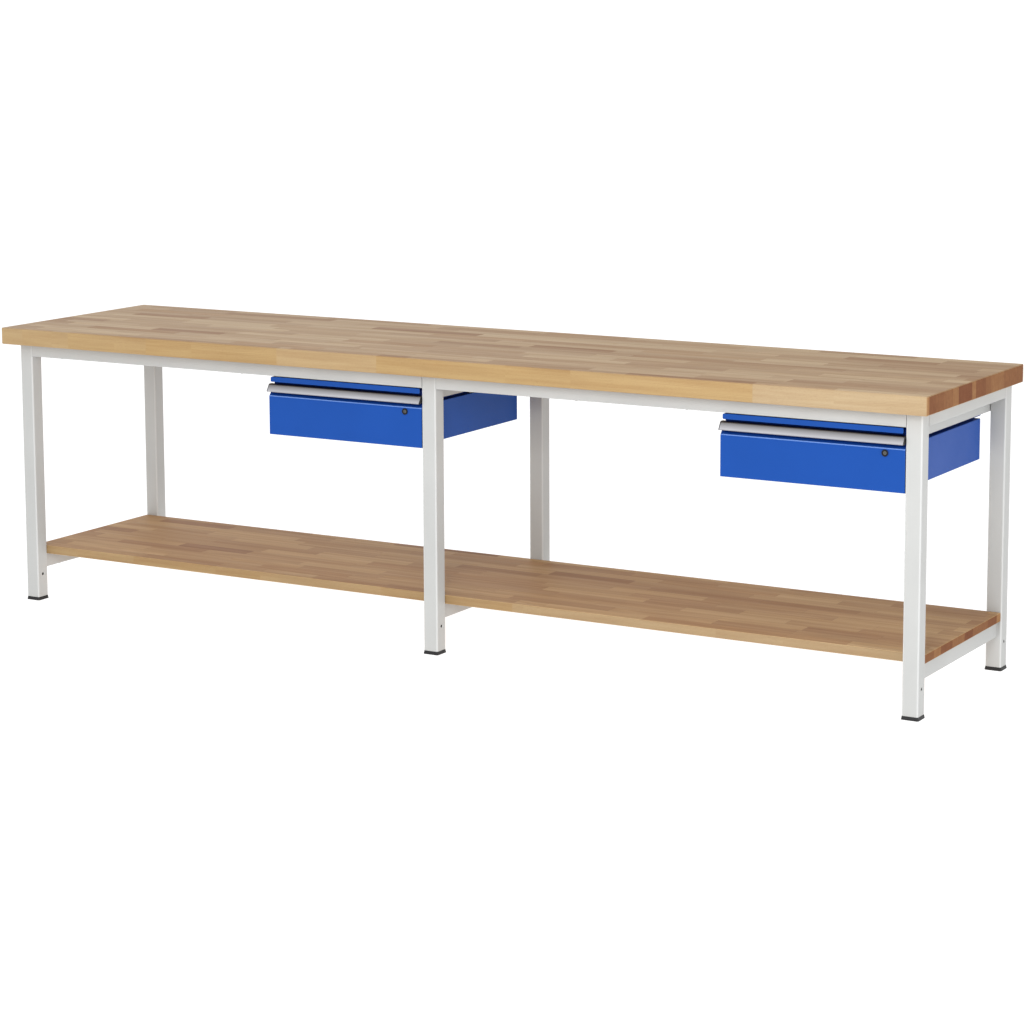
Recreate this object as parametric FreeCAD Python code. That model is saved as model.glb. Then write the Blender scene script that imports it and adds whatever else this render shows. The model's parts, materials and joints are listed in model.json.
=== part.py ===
import FreeCAD, Part
import math
import os

# A long workshop bench: a solid beech worktop on three tube frames, a beech shelf low between
# the legs, and two steel drawer units that hang under the worktop, one in each bay.
# Millimetres. X runs along the bench, +Y points to its back, Z is up. The origin lies on the
# floor, below the middle of the worktop.

# Worktop
bench_length = 3000.0
bench_depth = 700.0
bench_height = 850.0
worktop_thickness = 50.0
worktop_edge_chamfer = 2.0

# Legs
leg_width = 45.0
leg_wall = 2.0
leg_corner_radius = 4.0
leg_end_setback = 30.0
leg_front_setback = 50.0
leg_back_setback = 2.0
cross_hole_radius = 4.5
cross_hole_height = 80.0

# Foot caps
sole_height = 10.0
sole_flare = 2.0
sole_corner_cut = 2.4
plug_height = 28.0
plug_clearance = 0.2
plug_rib_depth = 1.5
plug_rib_height = 2.5
plug_wall = 3.0
plug_rib_places_share = (0.15, 0.5, 0.85)

# Rails under the worktop
top_rail_height = 40.0
top_rail_depth = 30.0
top_rail_wall = 2.0
top_rail_radius = 2.5

# Lower cross rails and shelf
lower_rail_height = 45.0
lower_rail_width = 20.0
lower_rail_wall = 2.0
lower_rail_radius = 2.5
shelf_underside = 140.0
shelf_thickness = 25.0
shelf_edge_chamfer = 1.5
shelf_end_inset = 2.5
shelf_leg_gap = 1.0

# Drawer unit: place and hanger rails
unit_width = 520.0
unit_leg_gap = 1.0
hanger_height = 80.0
hanger_width = 40.0
hanger_sheet = 2.0

# Drawer unit: housing
housing_sheet = 1.5
housing_height = 122.0
housing_depth = 515.0
housing_flange = 12.0
housing_ledge = 18.0
front_gap = 1.5
lid_hem = 10.0
lid_rear_overhang = 50.0
fascia_rail_gap = 2.0
fascia_height = 15.0
fascia_return = 8.0
fascia_foot = 18.0
fascia_foot_gap = 2.0
fascia_corner_radius = 4.0
fascia_end_inset = 6.0

# Drawer front and handle
front_sheet = 1.2
front_height = 148.0
front_skin_height = 112.0
front_depth = 17.0
front_lower_flange = 24.0
recess_rise = 18.0
recess_bend_radius = 2.0
handle_gap = 5.5
handle_height = 22.5
handle_projection = 13.0
handle_wall = 2.0
handle_slope = 12.0
handle_front_radius = 7.0
handle_back_radius = 1.0
handle_lip = 4.0
handle_flange = 16.0
handle_cap = 2.0

# Drawer tray
tray_sheet = 1.0
tray_floor_gap = 5.0
tray_height = 89.0
tray_back_gap = 18.0
tray_hem = 8.0

# Telescopic slides
slide_height = 45.0
slide_thickness = 13.0
slide_sheet = 1.2
slide_gap = 0.4
slide_length = 480.0
slide_front_gap = 3.0

# Cylinder lock
lock_inset = 55.0
lock_drop = 11.5
lock_ring_radius = 9.0
lock_ring_height = 2.0
lock_hole_clearance = 0.3
lock_case_radius = 7.5
lock_case_length = 24.0
lock_nut_width = 19.0
lock_nut_height = 3.0
lock_plug_radius = 5.0
lock_plug_clearance = 0.1
lock_plug_recess = 0.6
lock_axial_gap = 0.5
key_slot_width = 1.0
key_slot_length = 6.0
key_slot_depth = 2.0
cam_length = 35.0
cam_root_radius = 7.0
cam_tip_radius = 5.0
cam_thickness = 2.5
cam_nut_width = 8.0
cam_nut_height = 3.0
keeper_clearance = 1.5

# How far a cutting tool runs past the face that it cuts
overrun = 1.0

# Planes that several pieces share
worktop_underside = bench_height - worktop_thickness
frame_front = -bench_depth / 2 + leg_front_setback
front_leg_rear = frame_front + leg_width
frame_rear = bench_depth / 2 - leg_back_setback
back_leg_front = frame_rear - leg_width
outer_leg_centre = bench_length / 2 - leg_end_setback - leg_width / 2
frame_centres = {"left": -outer_leg_centre, "middle": 0.0, "right": outer_leg_centre}
bay_frames = {"left": ("left", "middle"), "right": ("middle", "right")}
top_rail_underside = worktop_underside - top_rail_height
front_rail_back = frame_front + top_rail_depth
rear_rail_front = frame_rear - top_rail_depth

# Planes of the drawer units
lid_top = worktop_underside - hanger_height
housing_bottom = lid_top - housing_height
front_back = frame_front + front_depth
tray_front = front_back
housing_front = tray_front + tray_sheet + front_gap
housing_rear = housing_front + housing_depth
fascia_top = top_rail_underside - fascia_rail_gap
fascia_bottom = fascia_top - fascia_height
handle_top = fascia_bottom - handle_gap
handle_bottom = handle_top - handle_height
front_bottom = handle_top - front_height
bend_line = front_bottom + front_skin_height
recess_top = bend_line + recess_rise
front_top = handle_top - handle_wall
tray_bottom = housing_bottom + tray_floor_gap
tray_top = tray_bottom + tray_height
tray_rear = housing_rear - housing_sheet - tray_back_gap
side_outer_inset = housing_sheet
side_inner_inset = 2 * housing_sheet
lid_inset = side_outer_inset + housing_ledge
head_inset = lid_inset + housing_sheet
ledge_top = lid_top - lid_hem
tray_inset = side_inner_inset + slide_thickness
slide_centre = (tray_bottom + tray_top) / 2
slide_front = housing_front + slide_front_gap
slide_rear = slide_front + slide_length
lock_height = bend_line - lock_drop
lock_case_rear = frame_front + lock_case_length
cam_front = lock_case_rear + lock_axial_gap
cam_rear = cam_front + cam_thickness


def point(axis, along, a, b):
    """A point at the distance along an axis, with a and b across it in X, Y, Z order."""
    if axis == "x":
        return FreeCAD.Vector(along, a, b)
    if axis == "y":
        return FreeCAD.Vector(a, along, b)
    return FreeCAD.Vector(a, b, along)


def block(low, high):
    """A box between two corners."""
    size = [top - bottom for bottom, top in zip(low, high)]
    return Part.makeBox(*size, FreeCAD.Vector(*low))


def rod(axis, start, end, a, b, radius):
    """A cylinder along an axis."""
    direction = point(axis, 1 if end > start else -1, 0, 0)
    return Part.makeCylinder(radius, abs(end - start), point(axis, start, a, b), direction)


def rounded_corner(before, corner, after, radius):
    """Start, middle and end of the arc that rounds one corner of an outline."""
    back = (before - corner).normalize()
    on = (after - corner).normalize()
    half_angle = back.getAngle(on) / 2
    cut = radius / math.tan(half_angle)
    inwards = (back + on).normalize()
    middle = corner + inwards * (radius / math.sin(half_angle) - radius)
    return corner + back * cut, middle, corner + on * cut


def outline_wire(axis, along, outline, radii):
    """A closed outline with rounded corners, drawn across an axis."""
    corners = [point(axis, along, a, b) for a, b in outline]
    if not isinstance(radii, (list, tuple)):
        radii = [radii] * len(corners)
    edges = []
    joints = []
    for index, corner in enumerate(corners):
        if radii[index] > 0:
            before = corners[index - 1]
            after = corners[(index + 1) % len(corners)]
            first, middle, last = rounded_corner(before, corner, after, radii[index])
            edges.append(Part.Arc(first, middle, last).toShape())
            joints.append((first, last))
        else:
            joints.append((corner, corner))
    for index in range(len(corners)):
        leaving = joints[index][1]
        arriving = joints[(index + 1) % len(corners)][0]
        if leaving.distanceToPoint(arriving) > FreeCAD.Base.Precision.confusion():
            edges.append(Part.LineSegment(leaving, arriving).toShape())
    return Part.Wire(Part.sortEdges(edges)[0])


def prism(axis, start, end, outline, radii):
    """A closed outline with rounded corners, extruded along an axis."""
    face = Part.Face(outline_wire(axis, start, outline, radii))
    return face.extrude(point(axis, end, 0, 0) - point(axis, start, 0, 0))


def folded_sheet(axis, start, end, path, sheet, bends):
    """Sheet along a path of its mid-line. Each fold has its inner radius, or none is rounded."""
    points = [FreeCAD.Vector(a, b, 0) for a, b in path]
    runs = [(after - before).normalize() for before, after in zip(points, points[1:])]
    normals = [FreeCAD.Vector(-run.y, run.x, 0) for run in runs]
    left = [(points[0] + normals[0] * sheet / 2, 0)]
    right = [(points[0] - normals[0] * sheet / 2, 0)]
    for index in range(1, len(points) - 1):
        mitre = (normals[index - 1] + normals[index]) / (1 + runs[index - 1].dot(runs[index]))
        turns_left = runs[index - 1].cross(runs[index]).z > 0
        inner = bends[index - 1] if bends else 0
        outer = inner + sheet if bends else 0
        left.append((points[index] + mitre * sheet / 2, inner if turns_left else outer))
        right.append((points[index] - mitre * sheet / 2, outer if turns_left else inner))
    left.append((points[-1] + normals[-1] * sheet / 2, 0))
    right.append((points[-1] - normals[-1] * sheet / 2, 0))
    outline = left + right[::-1]
    return prism(axis, start, end, [(p.x, p.y) for p, radius in outline],
                 [radius for p, radius in outline])


def tight_folds(axis, start, end, path, sheet):
    """Sheet folded tightly: square inside each fold, and rounded by its thickness outside."""
    return folded_sheet(axis, start, end, path, sheet, [0] * (len(path) - 2))


def tube(axis, start, end, low, high, wall, radius):
    """Rectangular tube along an axis, between two corners of its section, square inside."""
    outline = [low, (high[0], low[1]), high, (low[0], high[1])]
    bore_low = (low[0] + wall, low[1] + wall)
    bore_high = (high[0] - wall, high[1] - wall)
    bore = block(list(point(axis, start - overrun, *bore_low)),
                 list(point(axis, end + overrun, *bore_high)))
    return prism(axis, start, end, outline, radius).cut(bore)


def mirrored(shape, centre):
    """The shape mirrored across the plane at centre along X."""
    return shape.mirror(FreeCAD.Vector(centre, 0, 0), FreeCAD.Vector(1, 0, 0))


def save(node, *solids):
    """Write one sub-part: a single solid or a group of separate ones."""
    shape = solids[0] if len(solids) == 1 else Part.makeCompound(list(solids))
    shape.exportStep(os.path.join("parts", node + ".step"))


def board(low, high, chamfer):
    """A wooden board with all its edges eased."""
    plank = block(low, high)
    return plank.makeChamfer(chamfer, plank.Edges)


def leg(centre, front):
    """Square tube leg with its cross hole near the foot."""
    low = (centre - leg_width / 2, front)
    high = (centre + leg_width / 2, front + leg_width)
    post = tube("z", sole_height, worktop_underside, low, high, leg_wall, leg_corner_radius)
    hole_middle = front + leg_width / 2
    drill = rod("x", low[0] - overrun, high[0] + overrun, hole_middle, cross_hole_height,
                cross_hole_radius)
    return post.cut(drill)


def square(centre, middle, half):
    """Corners of a square round a point."""
    return [(centre - half, middle - half), (centre + half, middle - half),
            (centre + half, middle + half), (centre - half, middle + half)]


def cut_square(centre, middle, half, cut):
    """Corners of a square round a point, with each of its own corners cut off."""
    inner = half - cut
    offsets = [(-inner, -half), (inner, -half), (half, -inner), (half, inner),
               (inner, half), (-inner, half), (-half, inner), (-half, -inner)]
    return [(centre + x, middle + y) for x, y in offsets]


def tapered_block(bottom, lower, top, upper):
    """Flat-sided solid between two level outlines that have as many parallel edges."""
    low = [point("z", bottom, x, y) for x, y in lower]
    high = [point("z", top, x, y) for x, y in upper]
    loops = [low[::-1], high]
    for index in range(len(low)):
        after = (index + 1) % len(low)
        loops.append([low[index], low[after], high[after], high[index]])
    faces = [Part.Face(Part.makePolygon(loop + loop[:1])) for loop in loops]
    return Part.Solid(Part.Shell(faces))


def foot_cap(centre, front):
    """Plastic cap: a flared sole under the tube and a hollow ribbed plug inside it."""
    middle = front + leg_width / 2
    base = cut_square(centre, middle, leg_width / 2 + sole_flare,
                      sole_corner_cut + sole_flare / 2)
    shoulder = cut_square(centre, middle, leg_width / 2, sole_corner_cut)
    sole = tapered_block(0, base, sole_height, shoulder)
    bore_half = leg_width / 2 - leg_wall - plug_clearance
    core_half = bore_half - plug_rib_depth
    hollow_half = core_half - plug_wall
    plug_top = sole_height + plug_height
    plug = block((centre - core_half, middle - core_half, sole_height),
                 (centre + core_half, middle + core_half, plug_top))
    for share in plug_rib_places_share:
        rib_bottom = sole_height + share * (plug_height - plug_rib_height)
        plug = plug.fuse(prism("z", rib_bottom, rib_bottom + plug_rib_height,
                               square(centre, middle, bore_half), 0))
    hollow = block((centre - hollow_half, middle - hollow_half, sole_height),
                   (centre + hollow_half, middle + hollow_half, plug_top + overrun))
    return sole.fuse(plug.cut(hollow)).removeSplitter()


def rail_along_x(bay, front, back):
    """Tube under the worktop from one frame's legs to the next."""
    first, last = bay_frames[bay]
    return tube("x", frame_centres[first] + leg_width / 2, frame_centres[last] - leg_width / 2,
                (front, top_rail_underside), (back, worktop_underside), top_rail_wall,
                top_rail_radius)


def cross_rail_sides(frame):
    """Where a top cross rail lies: flush with the bench's ends, and central in the middle frame."""
    centre = frame_centres[frame]
    if frame == "left":
        low = centre - leg_width / 2
    elif frame == "right":
        low = centre + leg_width / 2 - top_rail_depth
    else:
        low = centre - top_rail_depth / 2
    return low, low + top_rail_depth


def build_frame():
    """Legs, caps, rails, worktop and shelf."""
    for bay in bay_frames:
        save(f"front_rail_{bay}", rail_along_x(bay, frame_front, front_rail_back))
        save(f"rear_rail_{bay}", rail_along_x(bay, rear_rail_front, frame_rear))

    for frame, centre in frame_centres.items():
        for row, front in (("front", frame_front), ("back", back_leg_front)):
            save(f"leg_{row}_{frame}", leg(centre, front))
            save(f"foot_cap_{row}_{frame}", foot_cap(centre, front))

        low, high = cross_rail_sides(frame)
        save(f"top_cross_rail_{frame}",
             tube("y", front_leg_rear, back_leg_front, (low, top_rail_underside),
                  (high, worktop_underside), top_rail_wall, top_rail_radius))
        half = lower_rail_width / 2
        save(f"lower_cross_rail_{frame}",
             tube("y", front_leg_rear, back_leg_front,
                  (centre - half, shelf_underside - lower_rail_height),
                  (centre + half, shelf_underside), lower_rail_wall, lower_rail_radius))

    save("worktop", board((-bench_length / 2, -bench_depth / 2, worktop_underside),
                          (bench_length / 2, bench_depth / 2, bench_height),
                          worktop_edge_chamfer))
    shelf_end = outer_leg_centre + leg_width / 2 - shelf_end_inset
    save("shelf", board((-shelf_end, front_leg_rear + shelf_leg_gap, shelf_underside),
                        (shelf_end, back_leg_front - shelf_leg_gap,
                         shelf_underside + shelf_thickness), shelf_edge_chamfer))


def unit_edges(name):
    """The left and right edge of a drawer unit, at the right end of its bay."""
    right = frame_centres[bay_frames[name][1]] - leg_width / 2 - unit_leg_gap
    return right - unit_width, right


def hanger_rail(left):
    """C section under the worktop, with its web on the outside of the unit."""
    web = left + hanger_sheet / 2
    path = [(left + hanger_width, worktop_underside - hanger_sheet / 2),
            (web, worktop_underside - hanger_sheet / 2),
            (web, lid_top + hanger_sheet / 2),
            (left + hanger_width, lid_top + hanger_sheet / 2)]
    return tight_folds("y", front_rail_back, rear_rail_front, path, hanger_sheet)


def keeper_slot(lock_x):
    """Cutter for the slot that the lock's cam turns up into."""
    reach = math.sqrt(cam_length ** 2 - (lid_top - housing_sheet - lock_height) ** 2)
    return block((lock_x - reach - keeper_clearance, cam_front - keeper_clearance,
                  lid_top - housing_sheet - overrun),
                 (lock_x + cam_tip_radius + keeper_clearance, cam_rear + keeper_clearance,
                  lid_top + housing_sheet + overrun))


def housing_lid(left, right, lock_x):
    """Lid with hems down to the ledges of the sides, set in from them and deeper than they are."""
    half = housing_sheet / 2
    near = left + lid_inset + half
    far = right - lid_inset - half
    path = [(near, ledge_top), (near, lid_top - half), (far, lid_top - half), (far, ledge_top)]
    lid = folded_sheet("y", housing_front, housing_rear + lid_rear_overhang, path, housing_sheet,
                       None)
    return lid.cut(keeper_slot(lock_x))


def housing_side(left):
    """Side wall with a flange folded in at its foot, and a ledge from which its head rises."""
    half = housing_sheet / 2
    head = left + head_inset + half
    wall = left + side_outer_inset + half
    ledge = ledge_top - half
    foot = housing_bottom + half
    path = [(head, lid_top - housing_sheet), (head, ledge), (wall, ledge), (wall, foot),
            (left + side_inner_inset + housing_flange, foot)]
    return tight_folds("y", housing_front, housing_rear, path, housing_sheet)


def housing_back(left, right):
    """Rear wall between the sides, notched for their ledges, with flanges folded forwards."""
    half = housing_sheet / 2
    middle = housing_rear - half
    flange_end = housing_rear - housing_flange
    head = lid_top - housing_sheet - half
    foot = housing_bottom + housing_sheet + half
    path = [(flange_end, head), (middle, head), (middle, foot), (flange_end, foot)]
    near = left + side_inner_inset
    far = right - side_inner_inset
    wall = folded_sheet("x", near, far, path, housing_sheet, None)
    notch_width = head_inset + housing_sheet - side_inner_inset
    notches = [block((low_x, flange_end - overrun, ledge_top - housing_sheet),
                     (high_x, housing_rear + overrun, lid_top))
               for low_x, high_x in ((near - overrun, near + notch_width),
                                     (far - notch_width, far + overrun))]
    return wall.cut(notches)


def housing_fascia(left, right, lock_x):
    """Strip above the drawer: a box-shaped front on a riser that stands on the lid."""
    half = housing_sheet / 2
    riser = housing_front + half
    front = frame_front + half
    top = fascia_top - half
    bottom = fascia_bottom + half
    path = [(riser + fascia_foot, lid_top + half), (riser, lid_top + half), (riser, top),
            (front, top), (front, bottom), (frame_front + fascia_return, bottom)]
    near = left + fascia_end_inset
    far = right - fascia_end_inset
    strip = tight_folds("x", near, far, path, housing_sheet)

    foot_rear = riser + fascia_foot + overrun
    corners = [(near, lid_top - overrun), (far, lid_top - overrun), (far, fascia_top),
               (near, fascia_top)]
    envelope = prism("y", frame_front - overrun, foot_rear, corners,
                     [0, 0, fascia_corner_radius, fascia_corner_radius])
    cutters = [keeper_slot(lock_x), lower_round(near, 1), lower_round(far, -1)]
    foot_inset = hanger_width + fascia_foot_gap
    for low_x, high_x in ((left - overrun, left + foot_inset), (right - foot_inset, right + overrun)):
        cutters.append(block((low_x, housing_front + housing_sheet, lid_top - overrun),
                             (high_x, foot_rear, fascia_bottom)))
    return strip.common(envelope).cut(cutters)


def lower_round(edge, side):
    """Cutter that rounds one lower end corner of the fascia's front, inwards by the side."""
    inner = edge + side * fascia_corner_radius
    outer = edge - side * overrun
    low = (min(outer, inner), frame_front - overrun, fascia_bottom - overrun)
    high = (max(outer, inner), frame_front + fascia_return + overrun,
            fascia_bottom + fascia_corner_radius)
    roller = rod("y", low[1] - overrun, high[1] + overrun, inner, high[2], fascia_corner_radius)
    return block(low, high).cut(roller)


def slide_members(left):
    """Outer, middle and inner member of the slide on a unit's left side, closed."""
    wall = left + side_inner_inset
    half = slide_sheet / 2
    half_height = slide_height / 2

    def member(web, tip, reach):
        path = [(tip, slide_centre + reach - half), (web, slide_centre + reach - half),
                (web, slide_centre - reach + half), (tip, slide_centre - reach + half)]
        return folded_sheet("y", slide_front, slide_rear, path, slide_sheet, None)

    step = slide_sheet + slide_gap
    inner_web = wall + slide_thickness - half
    middle_web = wall + half + step
    middle_tip = wall + slide_thickness - slide_sheet - slide_gap
    return {"outer": member(wall + half, middle_tip - step, half_height),
            "middle": member(middle_web, middle_tip, half_height - step),
            "inner": member(inner_web, middle_web + half + slide_gap, half_height - 2 * step)}


def drawer_tray(left, right, lock_x):
    """Tray folded up from sheet, with walls across its ends and a closed hem along its rim."""
    half = tray_sheet / 2
    near = left + tray_inset
    far = right - tray_inset
    path = [(near + half, tray_top), (near + half, tray_bottom + half),
            (far - half, tray_bottom + half), (far - half, tray_top)]
    trough = tight_folds("y", tray_front, tray_rear, path, tray_sheet)
    front_wall = block((near, tray_front, tray_bottom), (far, tray_front + tray_sheet, front_top))
    rear_wall = block((near, tray_rear - tray_sheet, tray_bottom), (far, tray_rear, tray_top))
    envelope = prism("y", tray_front, tray_rear,
                     [(near, tray_bottom), (far, tray_bottom), (far, front_top), (near, front_top)],
                     [tray_sheet, tray_sheet, 0, 0])
    pieces = [front_wall.common(envelope), rear_wall.common(envelope)]
    hem_foot = tray_top - tray_hem
    for inner in (near + tray_sheet, far - 2 * tray_sheet):
        pieces.append(block((inner, tray_front, hem_foot), (inner + tray_sheet, tray_rear, tray_top)))
    hem_front = tray_rear - 2 * tray_sheet
    pieces.append(block((near, hem_front, hem_foot), (far, tray_rear, tray_top)))
    tray = trough.fuse(pieces).removeSplitter()
    return tray.cut(rod("y", tray_front - overrun, tray_front + tray_sheet + overrun, lock_x,
                        lock_height, lock_case_radius + lock_hole_clearance))


def drawer_front(left, right, lock_x):
    """Folded front: a flat skin, the sloped finger recess above it, and closed ends."""
    half = front_sheet / 2
    skin = frame_front + half
    back = front_back - half
    path = [(back, front_bottom + front_lower_flange), (back, front_bottom + half),
            (skin, front_bottom + half), (skin, bend_line), (back, recess_top), (back, front_top)]
    bends = [0, 0, recess_bend_radius, 0]
    shell = folded_sheet("x", left + front_sheet, right - front_sheet, path, front_sheet, bends)
    outline = [(front_back, front_bottom), (frame_front, front_bottom), (frame_front, bend_line),
               (front_back - front_sheet, recess_top), (front_back - front_sheet, front_top),
               (front_back, front_top)]
    radii = [front_sheet, front_sheet, recess_bend_radius + front_sheet, 0, 0, 0]
    ends = [prism("x", start, start + front_sheet, outline, radii)
            for start in (left, right - front_sheet)]
    front = shell.fuse(ends).removeSplitter()
    return front.cut(rod("y", frame_front - overrun, frame_front + front_sheet + overrun, lock_x,
                         lock_height, lock_case_radius + lock_hole_clearance))


def handle(left, right):
    """Extruded grip strip: a flange on the front, a top, a sloped grip and a lip folded inwards."""
    half = handle_wall / 2
    flange = front_back - front_sheet - half
    lip = frame_front - handle_projection + half
    top = handle_top - half
    bottom = handle_bottom + half
    path = [(flange, handle_top - handle_flange), (flange, top), (lip + handle_slope, top),
            (lip, bottom), (lip + handle_lip, bottom)]
    bends = [handle_back_radius, handle_front_radius - handle_wall, 0]
    return folded_sheet("x", left + handle_cap, right - handle_cap, path, handle_wall, bends)


def handle_caps(left, right):
    """End plates that close the grip strip along its outer surface."""
    half = handle_wall / 2
    back = front_back - front_sheet
    lip = frame_front - handle_projection + half
    fall = math.atan2(handle_height - handle_wall, handle_slope)
    brow_corner = lip + handle_slope - half * math.tan(fall / 2)
    lip_corner = lip - half / math.tan(fall / 2)
    outline = [(back, handle_top - handle_flange), (back, handle_top), (brow_corner, handle_top),
               (lip_corner, handle_bottom), (lip + handle_lip, handle_bottom)]
    radii = [0, handle_back_radius, handle_front_radius, handle_wall, 0]
    return [prism("x", start, start + handle_cap, outline, radii)
            for start in (left, right - handle_cap)]


def lock_rod(lock_x, start, end, radius):
    """A cylinder on a lock's axis."""
    return rod("y", start, end, lock_x, lock_height, radius)


def lock_nut(lock_x, start, end, width):
    """A hexagonal nut on a lock's axis, of a width across its flats."""
    sides = 6
    reach = width / 2 / math.cos(math.pi / sides)
    turns = [2 * math.pi * step / sides for step in range(sides)]
    outline = [(lock_x + reach * math.cos(turn), lock_height + reach * math.sin(turn))
               for turn in turns]
    return prism("y", start, end, outline, 0)


def lock_case(lock_x):
    """Fixed barrel with its ring in front of the drawer and its nut behind the tray's wall."""
    ring_front = frame_front - lock_ring_height
    nut_front = tray_front + tray_sheet
    case = lock_rod(lock_x, ring_front, frame_front, lock_ring_radius).fuse(
        [lock_rod(lock_x, frame_front, lock_case_rear, lock_case_radius),
         lock_nut(lock_x, nut_front, nut_front + lock_nut_height, lock_nut_width)])
    bore = lock_rod(lock_x, ring_front - overrun, lock_case_rear + overrun,
                    lock_plug_radius + lock_plug_clearance)
    return case.removeSplitter().cut(bore)


def lock_plug(lock_x):
    """Turning plug with its key slot."""
    plug_front = frame_front - lock_ring_height + lock_plug_recess
    plug = lock_rod(lock_x, plug_front, cam_front, lock_plug_radius)
    return plug.cut(block((lock_x - key_slot_width / 2, plug_front - overrun,
                           lock_height - key_slot_length / 2),
                          (lock_x + key_slot_width / 2, plug_front + key_slot_depth,
                           lock_height + key_slot_length / 2)))


def lock_cam(lock_x):
    """Tapered cam on the end of the plug, unlocked, and the nut that holds it."""
    tip = lock_x - cam_length
    root = lock_x + cam_root_radius
    outline = [(root, lock_height - cam_root_radius), (root, lock_height + cam_root_radius),
               (lock_x, lock_height + cam_root_radius), (tip, lock_height + cam_tip_radius),
               (tip, lock_height - cam_tip_radius), (lock_x, lock_height - cam_root_radius)]
    root_round = cam_root_radius / 2
    tip_round = cam_tip_radius / 2
    radii = [root_round, root_round, 0, tip_round, tip_round, 0]
    cam = prism("y", cam_front, cam_rear, outline, radii)
    return cam, lock_nut(lock_x, cam_rear, cam_rear + cam_nut_height, cam_nut_width)


def build_unit(name):
    """One drawer unit with its hanger rails, housing, slides, drawer and lock."""
    left, right = unit_edges(name)
    centre = (left + right) / 2
    lock_x = right - lock_inset

    rail = hanger_rail(left)
    save(f"{name}_hanger_rail_left", rail)
    save(f"{name}_hanger_rail_right", mirrored(rail, centre))

    side = housing_side(left)
    save(f"{name}_housing_lid", housing_lid(left, right, lock_x))
    save(f"{name}_housing_side_left", side)
    save(f"{name}_housing_side_right", mirrored(side, centre))
    save(f"{name}_housing_back", housing_back(left, right))
    save(f"{name}_housing_fascia", housing_fascia(left, right, lock_x))

    for member, shape in slide_members(left).items():
        save(f"{name}_slide_{member}", shape, mirrored(shape, centre))

    save(f"{name}_drawer_tray", drawer_tray(left, right, lock_x))
    save(f"{name}_drawer_front", drawer_front(left, right, lock_x))
    save(f"{name}_handle", handle(left, right))
    save(f"{name}_handle_caps", *handle_caps(left, right))

    save(f"{name}_lock_case", lock_case(lock_x))
    save(f"{name}_lock_plug", lock_plug(lock_x))
    save(f"{name}_lock_cam", *lock_cam(lock_x))


os.makedirs("parts", exist_ok=True)
build_frame()
for unit_name in bay_frames:
    build_unit(unit_name)
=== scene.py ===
import json
import math

import bmesh
import bpy
from mathutils import Matrix, Vector


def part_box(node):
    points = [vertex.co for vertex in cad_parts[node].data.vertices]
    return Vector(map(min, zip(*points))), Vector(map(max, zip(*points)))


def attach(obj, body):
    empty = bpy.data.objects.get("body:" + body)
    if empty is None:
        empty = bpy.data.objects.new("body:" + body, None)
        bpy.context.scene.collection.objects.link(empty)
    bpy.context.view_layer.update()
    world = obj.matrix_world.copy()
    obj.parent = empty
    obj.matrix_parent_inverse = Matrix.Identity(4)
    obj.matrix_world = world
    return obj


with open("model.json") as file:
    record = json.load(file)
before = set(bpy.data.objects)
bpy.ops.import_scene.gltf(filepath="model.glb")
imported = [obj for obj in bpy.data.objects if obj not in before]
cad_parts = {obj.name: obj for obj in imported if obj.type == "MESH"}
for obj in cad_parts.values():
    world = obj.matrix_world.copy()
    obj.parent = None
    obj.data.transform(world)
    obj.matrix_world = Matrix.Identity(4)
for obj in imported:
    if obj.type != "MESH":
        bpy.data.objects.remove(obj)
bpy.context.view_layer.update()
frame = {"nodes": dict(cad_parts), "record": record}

# A workshop bench in a white studio. All lengths are metres, in the same frame as the bench:
# X runs along it, +Y points to its back, Z is up.
millimetre = 0.001

# What several materials share: the usual and the wide range of a noise, how far an edge turns the
# rounded normal, how bare an edge is worn, and how far roughness changes in patches
usual_noise_range = (0.3, 0.7)
wide_noise_range = (0.3, 0.8)
bevel_samples = 4
edge_range = (0.98, 0.75)
edge_wear_share = 0.5
roughness_swing = 0.05


def colour(red, green, blue):
    return (red, green, blue, 1.0)


def grey_of(level):
    return colour(level, level, level)


def between(low, high, share):
    return low + (high - low) * share


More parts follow.
